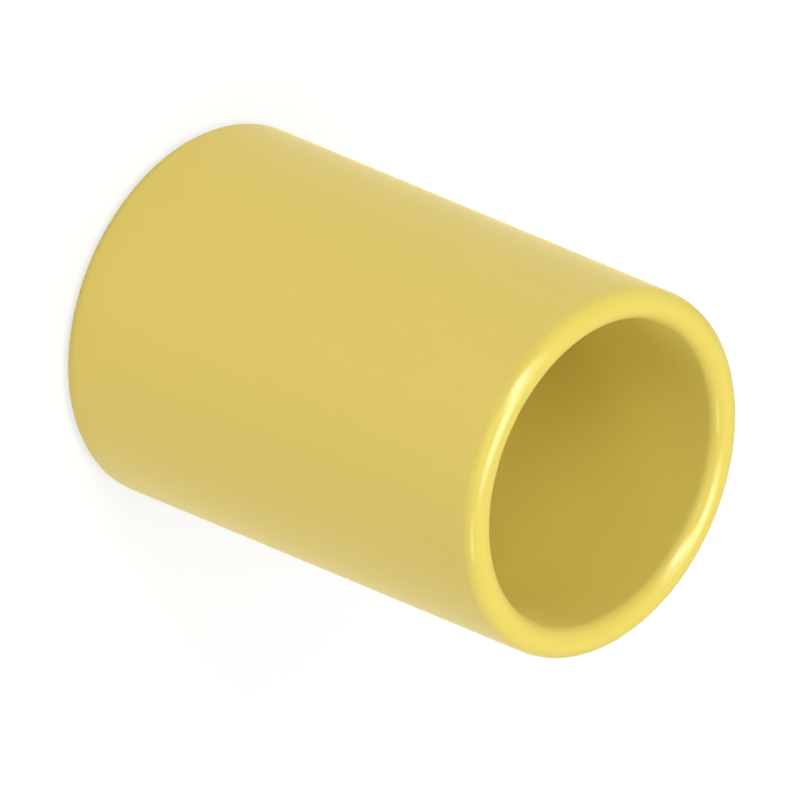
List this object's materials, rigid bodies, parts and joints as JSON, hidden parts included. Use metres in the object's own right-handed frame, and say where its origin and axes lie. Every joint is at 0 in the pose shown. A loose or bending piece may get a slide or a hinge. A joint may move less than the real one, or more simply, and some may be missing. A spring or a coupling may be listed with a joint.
{
  "type": "conduit coupling",
  "caption": "Plain moulded plastic sleeve that joins conduit end to end, with a socket and a full round rim at each end and a stop ring inside at mid length.",
  "frame": {"origin": "on the bore's axis, at the level of the surface that the lower rim stands on", "axes": "+Z along the bore's axis, from the lower socket to the upper one; the coupling is the same all round, so +X and +Y are any two square directions across it"},
  "size_m": [0.0404, 0.0404, 0.059],
  "materials": {
    "moulded_plastic": "satin"
  },
  "bodies": {
    "root": {"coupling_body": "moulded_plastic"}
  },
  "joints": []
}
